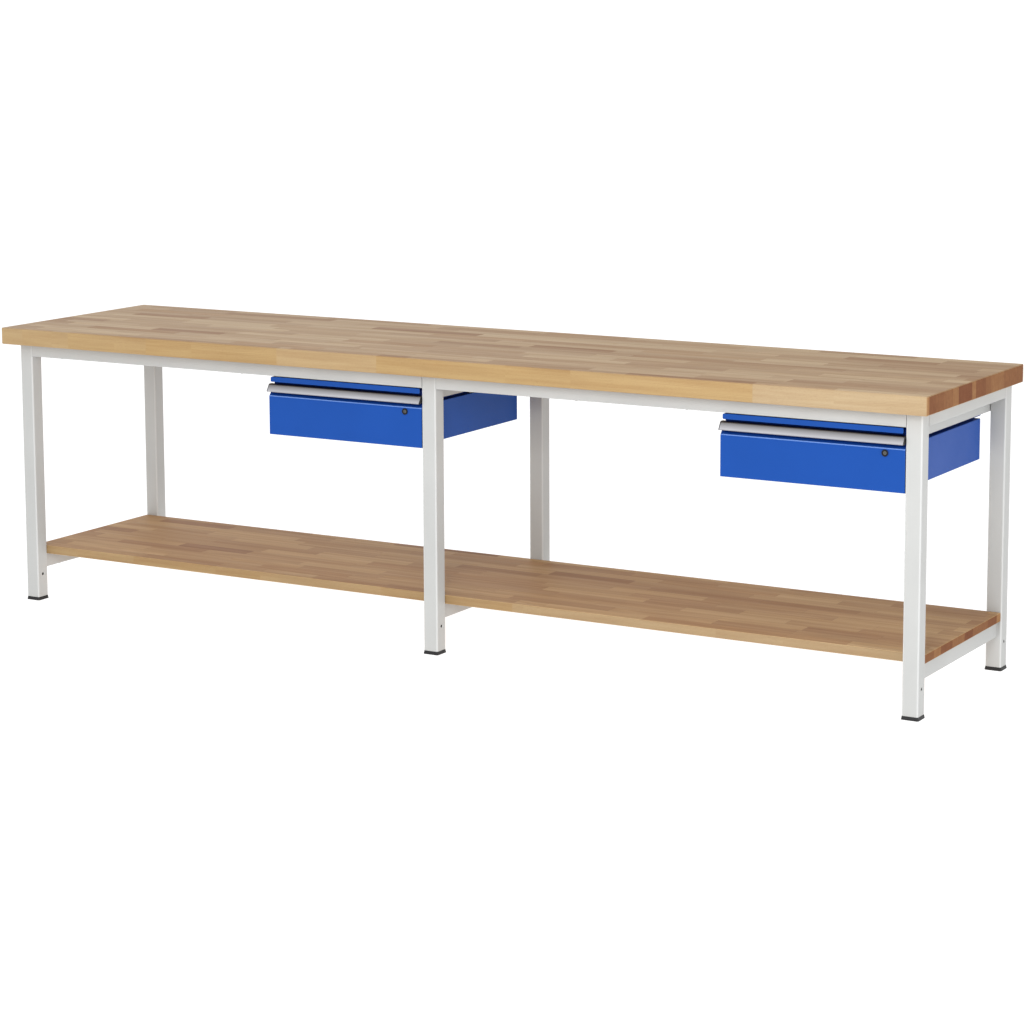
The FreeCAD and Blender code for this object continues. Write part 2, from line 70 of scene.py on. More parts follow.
class Look:
    """The nodes of one material, added and joined by short calls."""

    def __init__(self, name):
        self.material = bpy.data.materials.new(name)
        self.material.use_nodes = True
        self.tree = self.material.node_tree
        self.shader = self.tree.nodes["Principled BSDF"]
        coordinates = self.add("TexCoord").outputs
        self.place = coordinates["Object"]
        self.place_in_box = coordinates["Generated"]
        self.flat_normal = self.add("NewGeometry").outputs["True Normal"]

    def put(self, socket, value):
        """Give an input a fixed value, or join another node's output to it."""
        if isinstance(value, bpy.types.NodeSocket):
            self.tree.links.new(value, socket)
        else:
            socket.default_value = value

    def add(self, kind, inputs=None, **settings):
        """A new node with its settings, and its inputs by name or number."""
        node = self.tree.nodes.new("ShaderNode" + kind)
        for name, value in settings.items():
            setattr(node, name, value)
        for key, value in (inputs or {}).items():
            self.put(node.inputs[key], value)
        return node

    def finish(self, **inputs):
        """Set the shader's inputs, with a space for each underline in a name, and hand the material over."""
        for name, value in inputs.items():
            self.put(self.shader.inputs[name.replace("_", " ")], value)
        return self.material

    def maths(self, operation, first, second=0.0):
        return self.add("Math", {0: first, 1: second}, operation=operation).outputs[0]

    def times(self, first, second):
        return self.maths("MULTIPLY", first, second)

    def plus(self, first, second):
        return self.maths("ADD", first, second)

    def minus(self, first, second):
        return self.maths("SUBTRACT", first, second)

    def size(self, value):
        return self.maths("ABSOLUTE", value)

    def vector(self, operation, first, second):
        node = self.add("VectorMath", {0: first, 1: second}, operation=operation)
        return node.outputs["Value" if operation in ("LENGTH", "DOT_PRODUCT") else "Vector"]

    def stretch(self, place, factors):
        """A place with each of its directions multiplied by a factor."""
        return self.vector("MULTIPLY", place, factors)

    def split(self, vector):
        return self.add("SeparateXYZ", {0: vector}).outputs

    def join(self, x, y, z):
        return self.add("CombineXYZ", {0: x, 1: y, 2: z}).outputs[0]

    def spread(self, value, low, high, to_low=0.0, to_high=1.0):
        """A value from one range, held within another."""
        node = self.add("MapRange", {0: value, 1: low, 2: high, 3: to_low, 4: to_high})
        return node.outputs[0]

    def spread_noise(self, noise, to_low=0.0, to_high=1.0):
        """The range that most of a noise lies in, held within another."""
        return self.spread(noise, *usual_noise_range, to_low, to_high)

    def mix(self, share, first, second, blend="MIX"):
        """A colour between two, or one laid on the other."""
        node = self.add("Mix", data_type="RGBA", blend_type=blend)
        for key, value in (("Factor_Float", share), ("A_Color", first), ("B_Color", second)):
            self.put(next(socket for socket in node.inputs if socket.identifier == key), value)
        return next(socket for socket in node.outputs if socket.identifier == "Result_Color")

    def stain(self, share, base, tint):
        """A colour with a share of a tint multiplied into it."""
        return self.mix(share, base, tint, "MULTIPLY")

    def blend(self, share, first, second):
        """A number between two."""
        return self.plus(first, self.times(share, self.minus(second, first)))

    def staves(self, value, low, high, stave_shares):
        """The tone of the stave that a place between two ends lies in."""
        node = self.add("ValToRGB", {0: self.spread(value, low, high)})
        ramp = node.color_ramp
        ramp.interpolation = "CONSTANT"
        while len(ramp.elements) < len(stave_shares):
            ramp.elements.new(1.0)
        for element, (start, tone) in zip(ramp.elements, stave_shares):
            element.position = start
            element.color = grey_of(tone)
        return node.outputs["Color"]

    def noise(self, waves, detail=3.0, roughness=0.5, place=None):
        """Cloudy noise, by its waves per metre in all directions or in each of the three."""
        place = self.place if place is None else place
        if isinstance(waves, tuple):
            place = self.stretch(place, waves)
            waves = 1.0
        inputs = {"Vector": place, "Scale": waves, "Detail": detail, "Roughness": roughness}
        return self.add("TexNoise", inputs).outputs["Fac"]

    def bump(self, height, strength, distance, normal=None):
        inputs = {"Height": height, "Strength": strength, "Distance": distance}
        if normal is not None:
            inputs["Normal"] = normal
        return self.add("Bump", inputs).outputs["Normal"]

    def rounded(self, radius):
        """The normal, rounded over the edges."""
        return self.add("Bevel", {"Radius": radius}, samples=bevel_samples).outputs["Normal"]

    def near_edge(self, rounded):
        """How near an edge is, from 0 to 1, by how far the normal is turned there."""
        facing = self.vector("DOT_PRODUCT", rounded, self.flat_normal)
        return self.spread(facing, *edge_range)


# Beech staves. The figure's sizes are waves per metre along the bench, across it and upwards.
stave_width = 48.0 * millimetre
stave_length = 320.0 * millimetre
first_stave_width = 31.0 * millimetre
seam_width = 0.6 * millimetre
ring_spacing = 3.2 * millimetre
row_shift = 17.31
grain_slope = 0.05
log_spread = (3.0, 0.35, 0.35)
waver_waves = (1.6, 14.0, 14.0)
waver_turns = 9.0
streak_waves = (2.2, 70.0, 70.0)
cloud_waves = (5.0, 16.0, 16.0)
fleck_waves = (160.0, 1500.0, 1500.0)
relief_depth = 0.3 * millimetre
relief_strength = 0.25
streak_relief_share = 0.6
pore_relief_share = 0.5
pore_range = (0.6, 0.72)
facing_range = (0.6, 0.9)
tone_shares = (0.2, 0.95)

# Beech colours, of the darkest stave and of the lightest, and the tints of the figure
side_woods = (colour(0.44, 0.29, 0.115), colour(0.48, 0.36, 0.21))
top_woods = (colour(0.45, 0.285, 0.16), colour(0.675, 0.52, 0.33))
end_woods = (colour(0.2, 0.068, 0.022), colour(0.39, 0.205, 0.08))
red_tint = colour(0.74, 0.6, 0.5)
streak_tint = colour(0.72, 0.6, 0.5)
cloud_tint = colour(1.14, 1.12, 1.06)
ring_tint = colour(0.6, 0.45, 0.35)
pore_tint = colour(0.5, 0.33, 0.22)
glue_tint = colour(0.35, 0.22, 0.15)
red_range = (0.7, 0.95)
red_share = 0.8
streak_range = (0.35, 0.75)
streak_share = 0.66
cloud_range = (0.35, 0.7)
cloud_share = 0.35
ring_share = 0.2
pore_share = 0.3
glue_share = 0.55
wood_roughness = (0.54, 0.66)
end_roughness = 0.95
wood_specular = 0.5

# Staves of the front row and of the ends, from the photograph where it shows them. Each has its
# start and its tone, as shares of the board's size and of the range of tones.
top_front_shares = ((0.0, 0.5), (0.0253, 0.45), (0.0853, 0.3), (0.1827, 0.15), (0.3387, 0.55),
                    (0.4523, 0.12), (0.6567, 0.2), (0.8377, 1.0))
top_end_shares = ((0.0, 0.95), (0.02, 0.12), (0.0857, 0.22), (0.1643, 0.36), (0.2529, 0.62), (0.31, 0.0),
                  (0.4471, 0.66), (0.4857, 0.1), (0.5929, 0.32), (0.6457, 0.55), (0.7786, 0.3))
shelf_front_shares = ((0.0, 0.5), (0.1252, 0.35), (0.2888, 0.6), (0.4319, 0.4), (0.5818, 0.75),
                      (0.6124, 0.9), (0.793, 0.95))
shelf_end_shares = ((0.0, 0.3), (0.1151, 0.6), (0.205, 0.1), (0.3489, 0.45), (0.5108, 0.0),
                    (0.6187, 0.35), (0.8165, 0.1), (0.9424, 0.9))
plain = grey_of(1.0)
# Painted shade darkening the shelf's top and underside, and painted light on its front and back edges
shelf_top_painted_shade = colour(0.89, 0.75, 0.57)
shelf_side_painted_light = colour(1.36, 1.45, 1.46)


def beech(name, box, first_width, front_shares, end_shares, top_painted_shading=plain, side_painted_shading=plain):
    """Oiled beech glued from staves: tone, figure and flecks change from one stave to the next."""
    look = Look(name)
    low, high = box
    x, y, z = look.split(look.place)
    row_origin = low.y + first_width - stave_width
    across = look.maths("DIVIDE", look.minus(y, row_origin), stave_width)
    row = look.maths("FLOOR", across)
    along = look.plus(look.maths("DIVIDE", x, stave_length), look.times(row, row_shift))
    cells = {"W": along, "Scale": 1.0}
    stave = look.add("TexVoronoi", cells, voronoi_dimensions="1D").outputs["Color"]
    butt = look.add("TexVoronoi", cells, voronoi_dimensions="1D", feature="DISTANCE_TO_EDGE")
    tone_chance, slope_chance, red_chance = look.split(stave)
    normal = look.split(look.flat_normal)
    upward = look.spread(look.size(normal[2]), *facing_range)
    endways = look.spread(look.size(normal[0]), *facing_range)

    # The front row and the ends have staves of their own.
    in_front_row = look.maths("LESS_THAN", row, 0.5)
    front_tone = look.staves(x, low.x, high.x, front_shares)
    tone = look.blend(in_front_row, look.spread(tone_chance, 0.0, 1.0, *tone_shares), front_tone)
    tone = look.blend(endways, tone, look.staves(y, low.y, high.y, end_shares))
    tree = look.mix(in_front_row, stave, front_tone)

    # Every stave is cut from another place in the log, and a little out of line.
    slope = look.times(look.minus(slope_chance, 0.5), look.times(x, grain_slope))
    log = look.join(x, look.plus(y, slope), z)
    log = look.vector("ADD", log, look.stretch(tree, log_spread))
    waver = look.noise(waver_waves, detail=2.0, place=log)
    radius = look.vector("LENGTH", look.stretch(log, (0.0, 1.0, 1.0)), (0.0, 0.0, 0.0))
    turns = look.plus(look.maths("DIVIDE", radius, ring_spacing), look.times(waver, waver_turns))
    rings = look.spread(look.maths("SINE", look.times(turns, 2 * math.pi)), -1.0, 1.0)
    streaks = look.noise(streak_waves, detail=4.0, roughness=0.6, place=log)
    clouds = look.noise(cloud_waves, detail=2.0, place=log)
    pores = look.spread(look.noise(fleck_waves, detail=1.0, place=log), *pore_range)

    # Glue lines between the rows, and butt joints within the rows behind the front one
    seam_share = seam_width / stave_width
    nearest = look.size(look.minus(look.maths("FRACT", across), 0.5))
    row_seam = look.spread(nearest, 0.5 - seam_share, 0.5)
    butt_seam = look.spread(butt.outputs["Distance"], 0.0, seam_width / stave_length, 1.0, 0.0)
    butt_seam = look.times(butt_seam, look.minus(1.0, in_front_row))
    seam = look.maths("MAXIMUM", row_seam, butt_seam)

    # Painted light and shade: the top and underside, and the front and back, can each take a tint
    top_wood = look.stain(1.0, look.mix(tone, *top_woods), top_painted_shading)
    side_wood = look.stain(1.0, look.mix(tone, *side_woods), side_painted_shading)
    wood = look.mix(endways, look.mix(upward, side_wood, top_wood), look.mix(tone, *end_woods))
    figure = ((look.times(look.spread(red_chance, *red_range, 0.0, red_share), upward), red_tint),
              (look.spread(streaks, *streak_range, 0.0, streak_share), streak_tint),
              (look.spread(clouds, *cloud_range, 0.0, cloud_share), cloud_tint),
              (look.times(rings, ring_share), ring_tint),
              (look.times(pores, pore_share), pore_tint),
              (look.times(seam, glue_share), glue_tint))
    for share, tint in figure:
        wood = look.stain(share, wood, tint)

    hollows = look.plus(look.times(pores, pore_relief_share), seam)
    relief = look.minus(look.times(streaks, streak_relief_share), hollows)
    face_roughness = look.spread_noise(streaks, *wood_roughness)
    return look.finish(Base_Color=wood, Roughness=look.blend(endways, face_roughness, end_roughness),
                       Specular_IOR_Level=wood_specular,
                       Normal=look.bump(relief, relief_strength, relief_depth))


# Powder coats: refractive index, texture in waves per metre, painted shade in corners that little light
# reaches, and painted highlights
coat_index = 1.32
patch_waves = 5.0
peel_waves = 420.0
peel_depth = 0.12 * millimetre
peel_strength = 0.16
peel_roughness = 0.06
speck_waves = 1600.0
speck_range = (0.7, 0.78)
patch_tone_share = 0.93
speck_share = 0.12
coat_edge_wear_and_highlight_share = 0.45
corner_reach = 40.0 * millimetre
corner_samples = 6
open_shares = (0.15, 0.85)
corner_shade_share = 0.9
leg_bore_share = 0.93
# Painted highlight along the legs' outer corners: where it lies across the tube, and how strong it is
leg_corner_highlight_shares = (0.4, 0.44)
leg_corner_highlight_share = 0.65
bare_steel = colour(0.012, 0.011, 0.01)
# Painted highlight line along the drawer fronts' top bend: its width, its height on the front and its tone
bend_highlight_width = 1.7 * millimetre
bend_height_share = 0.7719
bend_highlight_blue = colour(0.17, 0.31, 0.72)
grey_paint = {
    "tint": colour(0.53, 0.535, 0.525),
    "wear_and_highlight": colour(0.68, 0.69, 0.685),
    "painted_shade_tone": colour(0.43, 0.425, 0.41),
    "specular": 0.4,
    "roughness": 0.36,
    "edge_radius": 1.2 * millimetre,
}
blue_paint = {
    "tint": colour(0.011, 0.073, 0.352),
    "wear_and_highlight": colour(0.09, 0.24, 0.68),
    "painted_shade_tone": colour(0.0, 0.008, 0.12),
    "specular": 0.2,
    "roughness": 0.32,
    "edge_radius": 2.0 * millimetre,
}


def powder_coat(name, tint, wear_and_highlight, painted_shade_tone, specular, roughness, edge_radius, bore_share=0.0, bend_highlight=None):
    """Baked powder coat: a fine orange peel, small changes of tone, thinner paint and a painted highlight
    on its edges, and painted shade in its corners.

    The inside of an upright tube, given by the share of its width, is bare dark steel; a painted
    highlight runs along its outer corners.
    A bend, given by its face and height, has a painted highlight line along it."""
    look = Look(name)
    rounded = look.rounded(edge_radius)
    patches = look.noise(patch_waves)
    peel = look.noise(peel_waves, detail=2.0)
    specks = look.spread(look.noise(speck_waves, detail=0.0), *speck_range)
    patch_tint = colour(*(patch_tone_share * part for part in tint[:3]))
    paint = look.mix(look.spread_noise(patches), tint, patch_tint)
    paint = look.mix(look.times(specks, speck_share), paint, wear_and_highlight)
    # Edges are lighter: thinner paint there, and a painted highlight along them
    paint = look.mix(look.times(look.near_edge(rounded), coat_edge_wear_and_highlight_share), paint, wear_and_highlight)
    # Painted shade: where little of the surroundings is open, the paint turns to the painted shade tone
    occlusion = look.add("AmbientOcclusion", {"Distance": corner_reach}, samples=corner_samples)
    shade = look.spread(occlusion.outputs["AO"], *open_shares, corner_shade_share, 0.0)
    paint = look.mix(shade, paint, painted_shade_tone)
    if bore_share:
        from_middle = look.split(look.vector("SUBTRACT", look.place_in_box, (0.5, 0.5, 0.5)))
        sideways = look.size(from_middle[0])
        backwards = look.size(from_middle[1])
        # A painted highlight along the tube's outer corners
        corner = look.spread(look.maths("MINIMUM", sideways, backwards), *leg_corner_highlight_shares,
                             0.0, leg_corner_highlight_share)
        inside = look.maths("LESS_THAN", look.maths("MAXIMUM", sideways, backwards), bore_share / 2)
        paint = look.mix(inside, look.mix(corner, paint, wear_and_highlight), bare_steel)
    # Painted highlight line along the bend
    if bend_highlight:
        face, height, bend_highlight_tone = bend_highlight
        y, z = look.split(look.place)[1:]
        on_highlight_line = look.spread(look.size(look.minus(z, height)), bend_highlight_width / 2, bend_highlight_width, 1.0, 0.0)
        on_face = look.maths("LESS_THAN", y, face + bend_highlight_width)
        paint = look.mix(look.times(on_highlight_line, on_face), paint, bend_highlight_tone)
    rough = look.spread_noise(patches, roughness - roughness_swing, roughness + roughness_swing)
    return look.finish(Base_Color=paint, Roughness=look.plus(rough, look.times(peel, peel_roughness)),
                       Specular_IOR_Level=specular, IOR=coat_index,
                       Normal=look.bump(peel, peel_strength, peel_depth, rounded))


# Moulded plastic
plastic_edge = 0.8 * millimetre
plastic_grain_waves = 1500.0
plastic_grain_depth = 0.08 * millimetre
plastic_grain_strength = 0.3
plastic_scuff_waves = (60.0, 60.0, 220.0)
plastic_scuff_range = (0.5, 0.8)
plastic_scuff_share = 0.6
plastic_tint = colour(0.012, 0.012, 0.013)
plastic_scuffed = colour(0.04, 0.04, 0.042)
plastic_worn = colour(0.07, 0.07, 0.072)
plastic_roughness = (0.42, 0.62)
plastic_specular = 0.4


def black_plastic(name):
    """Moulded plastic with a fine grain and scuffed edges."""
    look = Look(name)
    rounded = look.rounded(plastic_edge)
    grain = look.noise(plastic_grain_waves, detail=2.0)
    scuffs = look.noise(plastic_scuff_waves, detail=4.0, roughness=0.65)
    scuffed = look.spread(scuffs, *plastic_scuff_range, 0.0, plastic_scuff_share)
    body = look.mix(scuffed, plastic_tint, plastic_scuffed)
    body = look.mix(look.times(look.near_edge(rounded), edge_wear_share), body, plastic_worn)
    return look.finish(Base_Color=body, Specular_IOR_Level=plastic_specular,
                       Roughness=look.spread(scuffs, *wide_noise_range, *plastic_roughness),
                       Normal=look.bump(grain, plastic_grain_strength, plastic_grain_depth, rounded))


# Metals of the locks
lock_edge = 0.6 * millimetre
lock_line_depth = 0.05 * millimetre
lock_line_strength = 0.2
lock_line_roughness = 0.08
lock_cloud_waves = 30.0
lock_cloud_share = 0.35
black_lock = {
    "light": colour(0.014, 0.014, 0.015),
    "dark": colour(0.006, 0.006, 0.007),
    "line_waves": (300.0, 300.0, 300.0),
    "roughness": 0.42,
    "metallic": 0.0,
    "specular": 0.2,
}
bright_lock = {
    "light": colour(0.2, 0.2, 0.19),
    "dark": colour(0.08, 0.08, 0.078),
    "line_waves": (900.0, 900.0, 900.0),
    "roughness": 0.4,
    "metallic": 1.0,
    "specular": 0.5,
}


def lock_metal(name, light, dark, line_waves, roughness, metallic, specular):
    """Metal with a fine grain, a cloudy tone and brighter edges."""
    look = Look(name)
    rounded = look.rounded(lock_edge)
    lines = look.noise(line_waves, roughness=0.6)
    clouds = look.noise(lock_cloud_waves)
    metal = look.mix(look.spread_noise(lines), dark, light)
    metal = look.mix(look.spread_noise(clouds, 0.0, lock_cloud_share), metal, dark)
    metal = look.mix(look.times(look.near_edge(rounded), edge_wear_share), metal, light)
    rough = look.spread_noise(clouds, roughness - roughness_swing, roughness + roughness_swing)
    return look.finish(Base_Color=metal, Metallic=metallic, Specular_IOR_Level=specular,
                       Roughness=look.plus(rough, look.times(lines, lock_line_roughness)),
                       Normal=look.bump(lines, lock_line_strength, lock_line_depth, rounded))


# Anodised handles
handle_edge = 0.5 * millimetre
handle_line_depth = 0.03 * millimetre
handle_line_strength = 0.06
handle_line_roughness = 0.06
handle_line_waves = (2.0, 900.0, 900.0)
handle_line_share = 0.12
handle_cloud_waves = (6.0, 30.0, 30.0)
handle_cloud_share = 0.1
handle_roughness = (0.24, 0.3)
handle_painted_shade_shares = (0.15, 0.95)
handle_bright = colour(0.46, 0.46, 0.49)
handle_painted_shade = colour(0.11, 0.11, 0.11)
handle_line_tint = colour(0.2, 0.2, 0.21)
handle_cloud_tint = colour(0.25, 0.25, 0.26)


def handle_metal(name, bottom, top):
    """Drawn and anodised aluminium with faint lines along it, darker towards the top with painted shade."""
    look = Look(name)
    height = look.split(look.place)[2]
    lines = look.noise(handle_line_waves, roughness=0.6)
    clouds = look.noise(handle_cloud_waves)
    # Painted shade: the handle darkens towards its top
    dull = look.spread(height, *(between(bottom, top, share) for share in handle_painted_shade_shares))
    metal = look.mix(dull, handle_bright, handle_painted_shade)
    metal = look.mix(look.spread_noise(lines, 0.0, handle_line_share), metal, handle_line_tint)
    metal = look.mix(look.spread_noise(clouds, 0.0, handle_cloud_share), metal, handle_cloud_tint)
    rough = look.spread_noise(clouds, *handle_roughness)
    rough = look.plus(rough, look.times(lines, handle_line_roughness))
    rounded = look.rounded(handle_edge)
    return look.finish(Base_Color=metal, Metallic=1.0, Roughness=rough,
                       Normal=look.bump(lines, handle_line_strength, handle_line_depth, rounded))


# Zinc plate
zinc_edge = 0.5 * millimetre
zinc_spangle_depth = 0.03 * millimetre
zinc_spangle_strength = 0.1
zinc_spangle_roughness = 0.06
zinc_spangle_waves = 260.0
zinc_dull_waves = 45.0
zinc_dull_range = (0.45, 0.75)
zinc_dull_share = 0.5
zinc_roughness = (0.28, 0.45)
zinc_tints = (colour(0.52, 0.53, 0.55), colour(0.68, 0.69, 0.7))
zinc_dull = colour(0.4, 0.41, 0.42)
zinc_worn = colour(0.8, 0.8, 0.81)
zinc_metallic = 0.95


def zinc_plate(name):
    """Zinc-plated steel: a fine spangle and dull patches."""
    look = Look(name)
    rounded = look.rounded(zinc_edge)
    cells = look.add("TexVoronoi", {"Vector": look.place, "Scale": zinc_spangle_waves})
    spangle = look.split(cells.outputs["Color"])[0]
    dull = look.noise(zinc_dull_waves, detail=4.0, roughness=0.6)
    metal = look.mix(spangle, *zinc_tints)
    dulled = look.spread(dull, *zinc_dull_range, 0.0, zinc_dull_share)
    metal = look.mix(dulled, metal, zinc_dull)
    metal = look.mix(look.times(look.near_edge(rounded), edge_wear_share), metal, zinc_worn)
    rough = look.spread(dull, *wide_noise_range, *zinc_roughness)
    rough = look.plus(rough, look.times(spangle, zinc_spangle_roughness))
    return look.finish(Base_Color=metal, Metallic=zinc_metallic, Roughness=rough,
                       Normal=look.bump(spangle, zinc_spangle_strength, zinc_spangle_depth, rounded))


# Materials by slot, and those of the shelf and the legs alone
handle_low, handle_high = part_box("left_handle")
front_low, front_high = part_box("left_drawer_front")
# Where the painted highlight line runs along the drawer fronts' bend
drawer_bend_highlight = (front_low.y, between(front_low.z, front_high.z, bend_height_share), bend_highlight_blue)
finishes = {
    "beech": beech("beech_worktop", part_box("worktop"), first_stave_width, top_front_shares, top_end_shares),
    "grey_coat": powder_coat("grey_powder_coat", **grey_paint),
    "blue_coat": powder_coat("blue_powder_coat", **blue_paint, bend_highlight=drawer_bend_highlight),
    "black_plastic": black_plastic("moulded_black_plastic"),
    "anodised": handle_metal("anodised_aluminium", handle_low.z, handle_high.z),
    "zinc_steel": zinc_plate("zinc_plated_steel"),
    "black_metal": lock_metal("black_lock_metal", **black_lock),
    "lock_steel": lock_metal("lock_steel", **bright_lock),
}
shelf_wood = beech("beech_shelf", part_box("shelf"), stave_width, shelf_front_shares, shelf_end_shares,
                   shelf_top_painted_shade, shelf_side_painted_light)
leg_coat = powder_coat("leg_powder_coat", **grey_paint, bore_share=leg_bore_share)

for subpart in frame["record"]["subparts"]:
    node = frame["nodes"][subpart["node"]]
    finish = finishes[subpart["material_slot"]]
    if subpart["node"] == "shelf":
        finish = shelf_wood
    if subpart["node"].startswith("leg_"):
        finish = leg_coat
    node.data.materials.clear()
    node.data.materials.append(finish)


def ring(radius_at, height, points=24):
    """A closed ring of points round Z, with a radius for each angle."""
    turns = [2 * math.pi * index / points for index in range(points)]
    return [Vector((radius_at(turn) * math.cos(turn), radius_at(turn) * math.sin(turn), height))
            for turn in turns]


def circle(radius):
    return lambda turn: radius


def hexagon(flats, limit):
    """Radius of a hexagon at an angle, cut by a circle."""
    sixth = math.pi / 3
    return lambda turn: min(flats / 2 / math.cos((turn % sixth) - sixth / 2), limit)


def star(outer, inner, lobes):
    """Radius of a rounded star at an angle."""
    middle = (outer + inner) / 2
    swing = (outer - inner) / 2
    return lambda turn: middle + swing * math.cos(lobes * turn)


def stack(skin, place, rings):
    """Join rings into a closed skin with a flat cap at each end, set in its place."""
    loops = [[skin.verts.new(place @ spot) for spot in points] for points in rings]
    for low, high in zip(loops, loops[1:]):
        for index in range(len(low)):
            after = (index + 1) % len(low)
            skin.faces.new((low[index], low[after], high[after], high[index]))
    skin.faces.new(loops[0][::-1])
    skin.faces.new(loops[-1])


def standing_at(spot, direction):
    """The place of a shape that stands on a spot, with its Z in a direction."""
    return Matrix.Translation(spot) @ Vector(direction).to_track_quat("Z", "Y").to_matrix().to_4x4()


def dress(name, skin, body, material, smooth=False):
    """Put a finished skin in the scene as a piece of the object."""
    mesh = bpy.data.meshes.new(name)
    skin.to_mesh(mesh)
    skin.free()
    for face in mesh.polygons:
        face.use_smooth = smooth
    piece = bpy.data.objects.new(name, mesh)
    bpy.context.scene.collection.objects.link(piece)
    mesh.materials.append(material)
    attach(piece, body)


# Pan-head screws: radius and height shares of the dome, and of the two rings of the star socket
screw_radius = 4.6 * millimetre
screw_height = 2.8 * millimetre
dome_shares = ((1.0, 0.0), (0.99, 0.35), (0.88, 0.72), (0.66, 0.94), (0.5, 1.0))
socket_shares = ((0.42, 0.31, 1.0), (0.4, 0.29, 0.4))
socket_lobes = 6


def pan_head(skin, place):
    """Domed screw head with a star socket, standing on Z = 0."""
    rings = [ring(circle(share * screw_radius), rise * screw_height) for share, rise in dome_shares]
    for outer, inner, rise in socket_shares:
        lobed = star(outer * screw_radius, inner * screw_radius, socket_lobes)
        rings.append(ring(lobed, rise * screw_height))
    stack(skin, place, rings)


# Hexagon bolts: radius and height shares of the washer, and the head's shares of its own size
bolt_flats = 10.0 * millimetre
bolt_height = 4.0 * millimetre
washer_radius = 6.0 * millimetre
washer_height = 1.2 * millimetre
washer_shares = ((1.0, 0.0), (1.0, 0.8), (0.97, 1.0))
crown_radius_share = 0.47
chamfer_height_share = 0.15
dish_radius_shares = (0.3, 0.24)
dish_depth_share = 0.1


def hex_bolt(skin, place):
    """Washer and chamfered hexagon head with a shallow dish, standing on Z = 0."""
    stack(skin, place, [ring(circle(share * washer_radius), rise * washer_height)
                        for share, rise in washer_shares])
    corner = bolt_flats / math.sqrt(3)
    top = washer_height + bolt_height
    dish_rim, dish_floor = (circle(share * bolt_flats) for share in dish_radius_shares)
    stack(skin, place, [ring(hexagon(bolt_flats, corner), washer_height),
                        ring(hexagon(bolt_flats, corner), top - chamfer_height_share * bolt_height),
                        ring(hexagon(bolt_flats, crown_radius_share * bolt_flats), top),
                        ring(dish_rim, top),
                        ring(dish_floor, top - dish_depth_share * bolt_height)])


def fasteners(name, build, spots, direction, body):
    """Copies of one zinc-plated fastener at several spots, all heads pointing in one direction."""
    skin = bmesh.new()
    for spot in spots:
        build(skin, standing_at(spot, direction))
    dress(name, skin, body, finishes["zinc_steel"])


# Screws through the rails into the worktop and the shelf, at shares of each rail's length
front_screw_shares = (0.12, 0.5, 0.88)
rear_screw_shares = (0.08, 0.36, 0.64, 0.92)
cross_screw_shares = (0.2, 0.8)
shelf_screw_shares = (0.15, 0.5, 0.85)
down = (0, 0, -1)
up = (0, 0, 1)
rail_spots = []
for bay in ("left", "right"):
    unit_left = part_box(f"{bay}_hanger_rail_left")[0].x
    low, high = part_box(f"front_rail_{bay}")
    for share in front_screw_shares:
        rail_spots.append(Vector((between(low.x, unit_left, share), (low.y + high.y) / 2, low.z)))
    low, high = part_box(f"rear_rail_{bay}")
    for share in rear_screw_shares:
        rail_spots.append(Vector((between(low.x, high.x, share), (low.y + high.y) / 2, low.z)))
shelf_spots = []
for side in ("left", "middle", "right"):
    low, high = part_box(f"top_cross_rail_{side}")
    for share in cross_screw_shares:
        rail_spots.append(Vector(((low.x + high.x) / 2, between(low.y, high.y, share), low.z)))
    low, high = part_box(f"lower_cross_rail_{side}")
    for share in shelf_screw_shares:
        shelf_spots.append(Vector(((low.x + high.x) / 2, between(low.y, high.y, share), low.z)))
fasteners("worktop_screws", pan_head, rail_spots, down, "bench")
fasteners("shelf_screws", pan_head, shelf_spots, down, "bench")

# Screws and bolts of the drawer units, on the flanges of the hanger rails and the walls of the trays
hanger_wall = 2.0 * millimetre
tray_wall = 1.0 * millimetre
flange_screw_shares = {"left": 0.72, "right": 0.28}
hanger_screw_shares = (0.12, 0.5, 0.88)
slide_screw_shares = (0.08, 0.5, 0.9)
for unit in ("left", "right"):
    hanger_spots = []
    bolt_spots = []
    for side, flange_share in flange_screw_shares.items():
        low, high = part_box(f"{unit}_hanger_rail_{side}")
        x = between(low.x, high.x, flange_share)
        for share in hanger_screw_shares:
            y = between(low.y, high.y, share)
            hanger_spots.append(Vector((x, y, high.z - hanger_wall)))
            bolt_spots.append(Vector((x, y, low.z + hanger_wall)))
    fasteners(f"{unit}_hanger_screws", pan_head, hanger_spots, down, "bench")
    fasteners(f"{unit}_housing_bolts", hex_bolt, bolt_spots, up, "bench")
    low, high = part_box(f"{unit}_drawer_tray")
    slide_low, slide_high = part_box(f"{unit}_slide_inner")
    z = (slide_low.z + slide_high.z) / 2
    walls = (("left", low.x + tray_wall, (1, 0, 0)), ("right", high.x - tray_wall, (-1, 0, 0)))
    for side, x, inward in walls:
        spots = [Vector((x, between(slide_low.y, slide_high.y, share), z)) for share in slide_screw_shares]
        fasteners(f"{unit}_drawer_screws_{side}", pan_head, spots, inward, f"{unit}_drawer")

# Weld beads: their ripples, their tapered tips, and how far they stay clear of corners
weld_radius = 1.8 * millimetre
weld_ripple = 1.1 * millimetre
weld_inset = 3.0 * millimetre
weld_clearance = 1.0 * millimetre
fewest_ripples = 6
weld_points = 8
ripple_depth_share = 0.14
tip_share = 0.35
tip_growth_share = 0.5


def weld_bead(skin, start, end):
    """A rippled bead along the corner between two tubes."""
    run = Vector(end) - Vector(start)
    ripples = max(fewest_ripples, round(run.length / weld_ripple))
    rings = []
    for step in range(ripples + 1):
        swell = 1 - ripple_depth_share + ripple_depth_share * math.cos(math.pi * step)
        taper = min(1.0, tip_share + tip_growth_share * min(step, ripples - step))
        rings.append(ring(circle(weld_radius * swell * taper), run.length * step / ripples, weld_points))
    stack(skin, standing_at(start, run), rings)


